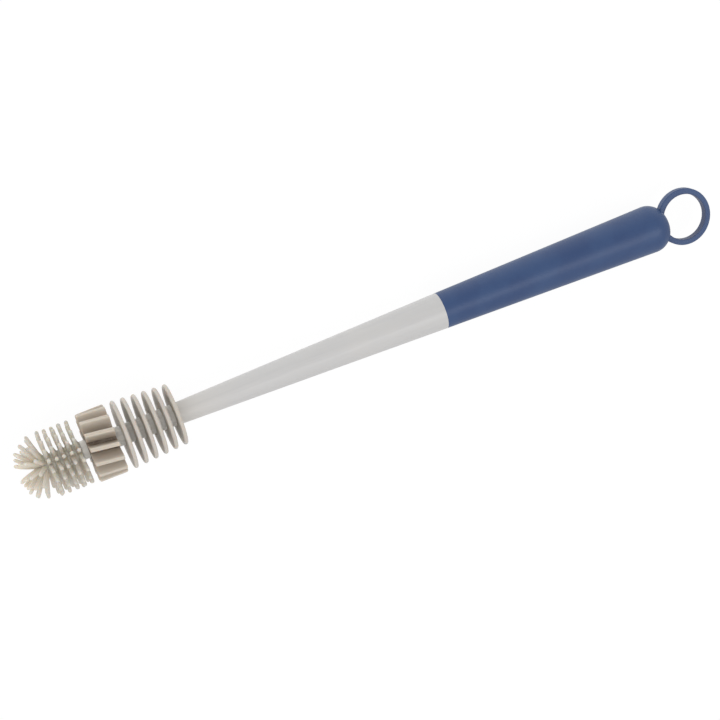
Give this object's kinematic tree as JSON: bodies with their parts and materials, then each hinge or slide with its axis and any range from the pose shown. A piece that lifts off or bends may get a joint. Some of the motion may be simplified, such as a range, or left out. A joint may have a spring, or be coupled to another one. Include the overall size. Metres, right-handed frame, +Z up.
{
  "type": "bottle brush",
  "caption": "Long bottle brush lying on its side: soft bristle tip, fluted block and scraper discs on a tapered shaft, with a blue grip and a hanging ring.",
  "frame": {"origin": "centre of the bounding box at the height of the surface that the brush lies on", "axes": "+X along the brush, from the bristle tip to the hanging ring; +Z up; +Y across the brush"},
  "size_m": [0.3601, 0.0334, 0.0333],
  "materials": {
    "shaft_plastic": "satin",
    "silicone": "soft matte",
    "grip_plastic": "satin"
  },
  "bodies": {
    "root": {"shaft": "shaft_plastic", "bristle_tip": "silicone", "fluted_block": "silicone", "disc_1": "silicone", "disc_2": "silicone", "disc_3": "silicone", "disc_4": "silicone", "disc_5": "silicone", "disc_6": "silicone", "grip": "grip_plastic", "hanging_ring": "grip_plastic"}
  },
  "joints": []
}
